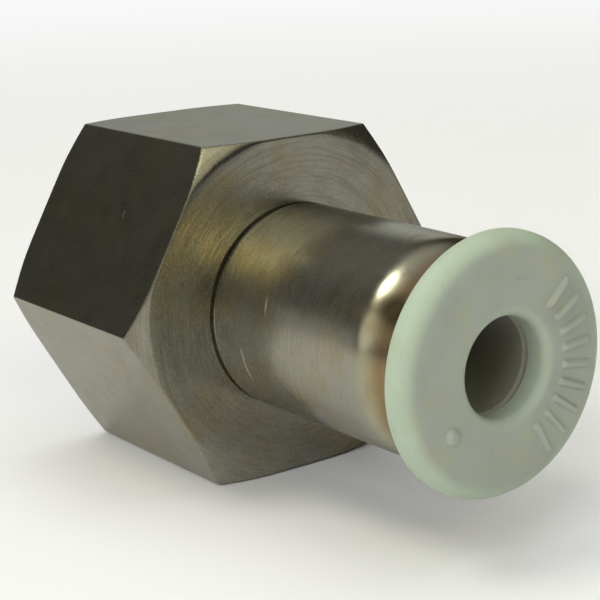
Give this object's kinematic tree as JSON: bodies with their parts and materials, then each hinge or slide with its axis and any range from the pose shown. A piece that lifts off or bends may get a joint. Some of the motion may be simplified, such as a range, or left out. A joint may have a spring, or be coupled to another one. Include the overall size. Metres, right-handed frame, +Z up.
{
  "type": "push to connect fitting",
  "caption": "Straight push to connect fitting: plastic tube grips in its release ring end, hexagon body has a female pipe thread at the other.",
  "frame": {"origin": "centre of the bounding box in plan, on the hexagon flat that the fitting lies on", "axes": "+X along the fitting's axis from the thread to the release ring, +Z up from the flat that it lies on"},
  "size_m": [0.0258, 0.0184, 0.016],
  "materials": {
    "nickel_plate": "machined, matt nickel plate on brass",
    "brass": "machined, satin",
    "spring_steel": "pressed stainless spring steel",
    "grey_acetal": "moulded, matt",
    "white_acetal": "moulded, matt",
    "nitrile_rubber": "moulded rubber"
  },
  "bodies": {
    "fitting": {"body": "nickel_plate", "tube_seal": "nitrile_rubber", "support_ring": "white_acetal", "claw_rim": "spring_steel", "claw_seat": "brass", "retaining_bush": "brass"},
    "collet": {"collet": "brass"},
    "release_ring": {"release_ring": "grey_acetal"},
    "claw_1": {"claw_1": "spring_steel"},
    "claw_2": {"claw_2": "spring_steel"},
    "claw_3": {"claw_3": "spring_steel"},
    "claw_4": {"claw_4": "spring_steel"},
    "claw_5": {"claw_5": "spring_steel"},
    "claw_6": {"claw_6": "spring_steel"},
    "claw_7": {"claw_7": "spring_steel"},
    "claw_8": {"claw_8": "spring_steel"}
  },
  "joints": [
    {"name": "release_slide", "type": "slide", "parent": "fitting", "child": "collet", "axis": [-1, 0, 0], "range_m": [0, 0.0009], "stiffness_N_per_m": 2000},
    {"name": "release_ring_spin", "type": "hinge", "parent": "collet", "child": "release_ring", "pos_m": [0.01162, 0, 0.008], "axis": [1, 0, 0], "continuous": true},
    {"name": "claw_1_flex", "type": "hinge", "parent": "fitting", "child": "claw_1", "pos_m": [0.00524, 0.0032, 0.008], "axis": [0, 0, -1], "range_deg": [0, 22.1]},
    {"name": "claw_2_flex", "type": "hinge", "parent": "fitting", "child": "claw_2", "pos_m": [0.00524, 0.00226, 0.01026], "axis": [0, 0.7071, -0.7071], "range_deg": [0, 22.1]},
    {"name": "claw_3_flex", "type": "hinge", "parent": "fitting", "child": "claw_3", "pos_m": [0.00524, 0, 0.0112], "axis": [0, 1, 0], "range_deg": [0, 22.1]},
    {"name": "claw_4_flex", "type": "hinge", "parent": "fitting", "child": "claw_4", "pos_m": [0.00524, -0.00226, 0.01026], "axis": [0, 0.7071, 0.7071], "range_deg": [0, 22.1]},
    {"name": "claw_5_flex", "type": "hinge", "parent": "fitting", "child": "claw_5", "pos_m": [0.00524, -0.0032, 0.008], "axis": [0, 0, 1], "range_deg": [0, 22.1]},
    {"name": "claw_6_flex", "type": "hinge", "parent": "fitting", "child": "claw_6", "pos_m": [0.00524, -0.00226, 0.00574], "axis": [0, -0.7071, 0.7071], "range_deg": [0, 22.1]},
    {"name": "claw_7_flex", "type": "hinge", "parent": "fitting", "child": "claw_7", "pos_m": [0.00524, 0, 0.0048], "axis": [0, -1, 0], "range_deg": [0, 22.1]},
    {"name": "claw_8_flex", "type": "hinge", "parent": "fitting", "child": "claw_8", "pos_m": [0.00524, 0.00226, 0.00574], "axis": [0, -0.7071, -0.7071], "range_deg": [0, 22.1]}
  ],
  "couplings": [
    {"joint": "claw_1_flex", "follows": "release_slide", "rad_per_m": 426.64},
    {"joint": "claw_2_flex", "follows": "release_slide", "rad_per_m": 426.64},
    {"joint": "claw_3_flex", "follows": "release_slide", "rad_per_m": 426.64},
    {"joint": "claw_4_flex", "follows": "release_slide", "rad_per_m": 426.64},
    {"joint": "claw_5_flex", "follows": "release_slide", "rad_per_m": 426.64},
    {"joint": "claw_6_flex", "follows": "release_slide", "rad_per_m": 426.64},
    {"joint": "claw_7_flex", "follows": "release_slide", "rad_per_m": 426.64},
    {"joint": "claw_8_flex", "follows": "release_slide", "rad_per_m": 426.64}
  ]
}
